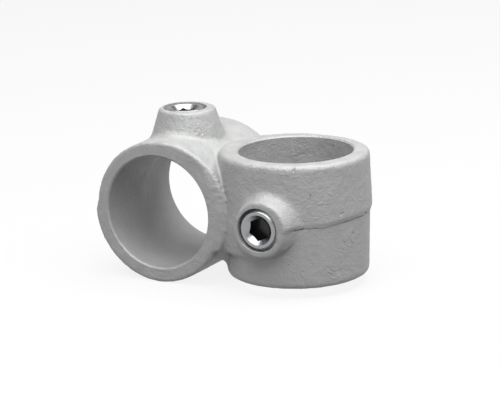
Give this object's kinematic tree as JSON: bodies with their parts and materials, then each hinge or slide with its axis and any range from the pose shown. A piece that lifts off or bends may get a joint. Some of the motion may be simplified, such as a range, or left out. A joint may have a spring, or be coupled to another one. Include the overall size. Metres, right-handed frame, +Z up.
{
  "type": "right-angle crossover tube clamp",
  "caption": "Cast clamp that joins two round tubes crossing side by side at a right angle, each held in its own collar by a hexagon socket set screw.",
  "frame": {"origin": "centre of the upright bore, at the middle of its length, on the casting's parting plane", "axes": "+Z up along the upright bore; +Y along the lying bore, away from the side that the upright collar's set screw faces; the lying bore is on the -X side"},
  "size_m": [0.1046, 0.0604, 0.0642],
  "materials": {
    "galvanised_iron": "hot-dip galvanised, as cast",
    "zinc_plated_steel": "bright zinc plated"
  },
  "bodies": {
    "clamp": {"clamp_body": "galvanised_iron"},
    "upright_screw": {"upright_set_screw": "zinc_plated_steel"},
    "lying_screw": {"lying_set_screw": "zinc_plated_steel"}
  },
  "joints": [
    {"name": "upright_screw_travel", "type": "slide", "parent": "clamp", "child": "upright_screw", "axis": [0, 1, 0], "range_m": [-0.00535, 0.00134]},
    {"name": "lying_screw_travel", "type": "slide", "parent": "clamp", "child": "lying_screw", "axis": [0, 0, -1], "range_m": [-0.00535, 0.00401]}
  ]
}
